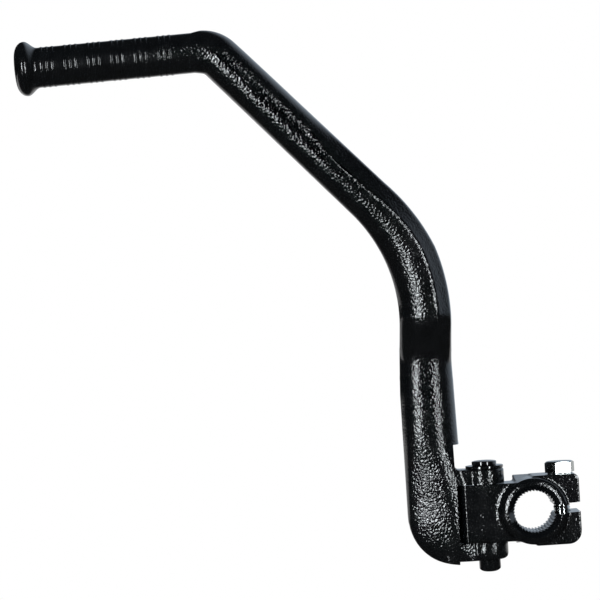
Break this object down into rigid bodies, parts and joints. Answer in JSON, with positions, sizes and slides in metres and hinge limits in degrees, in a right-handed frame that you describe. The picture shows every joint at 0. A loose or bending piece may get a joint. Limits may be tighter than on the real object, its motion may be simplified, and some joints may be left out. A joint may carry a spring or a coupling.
{
  "type": "kick start lever",
  "caption": "Folding kick start lever: dog-leg arm with ribbed foot pedal, hinged on a clamp boss with a serrated shaft bore.",
  "frame": {"origin": "centre of the serrated shaft bore, halfway along it", "axes": "+Y along the bore towards the engine, +Z along the pivot pin towards the pedal, +X from the bore out over the clamp slot"},
  "size_m": [0.2429, 0.0333, 0.2527],
  "materials": {
    "black_enamel": "gloss",
    "zinc_steel": "satin",
    "bright_steel": "polished"
  },
  "bodies": {
    "boss": {"shaft_boss": "black_enamel", "pinch_bolt": "zinc_steel"},
    "lever": {"kick_lever": "black_enamel", "pivot_pin": "black_enamel", "pivot_washer": "black_enamel", "detent_spring": "bright_steel"},
    "ball": {"detent_ball": "bright_steel"}
  },
  "joints": [
    {"name": "fold_out", "type": "hinge", "parent": "boss", "child": "lever", "pos_m": [-0.021, 0, 0], "axis": [0, 0, 1], "range_deg": [0, 90]},
    {"name": "detent_press", "type": "slide", "parent": "lever", "child": "ball", "axis": [-1, 0, 0], "range_m": [0, 0.0005], "stiffness_N_per_m": 4000, "springref_m": -0.0005, "deforming": ["detent_spring"]}
  ]
}
